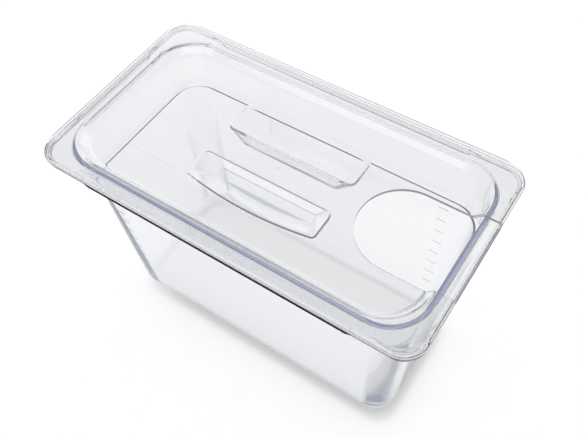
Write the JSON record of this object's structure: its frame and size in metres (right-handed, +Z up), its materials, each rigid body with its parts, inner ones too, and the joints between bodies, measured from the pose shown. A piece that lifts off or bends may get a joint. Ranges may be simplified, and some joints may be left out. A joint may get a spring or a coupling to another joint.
{
  "type": "food pan with notched lid",
  "caption": "Clear rectangular food storage pan with a flanged rim and stacking shoulder, and a lift-off lid with a recessed grip and an open spoon notch.",
  "frame": {"origin": "centre of the pan's flat underside", "axes": "+X along the long side towards the lid's spoon notch, +Y across, +Z up"},
  "size_m": [0.327, 0.179, 0.2027],
  "materials": {
    "pan_plastic": "clear polycarbonate, polished, faint blue-violet tint seen through its edges",
    "lid_plastic": "clear polycarbonate, polished, faint blue-violet tint seen through its edges"
  },
  "bodies": {
    "pan": {"pan": "pan_plastic"},
    "lid": {"lid": "lid_plastic"}
  },
  "joints": [
    {"name": "lid_lift", "type": "slide", "parent": "pan", "child": "lid", "axis": [0, 0, 1], "range_m": [0, 0.1]}
  ]
}
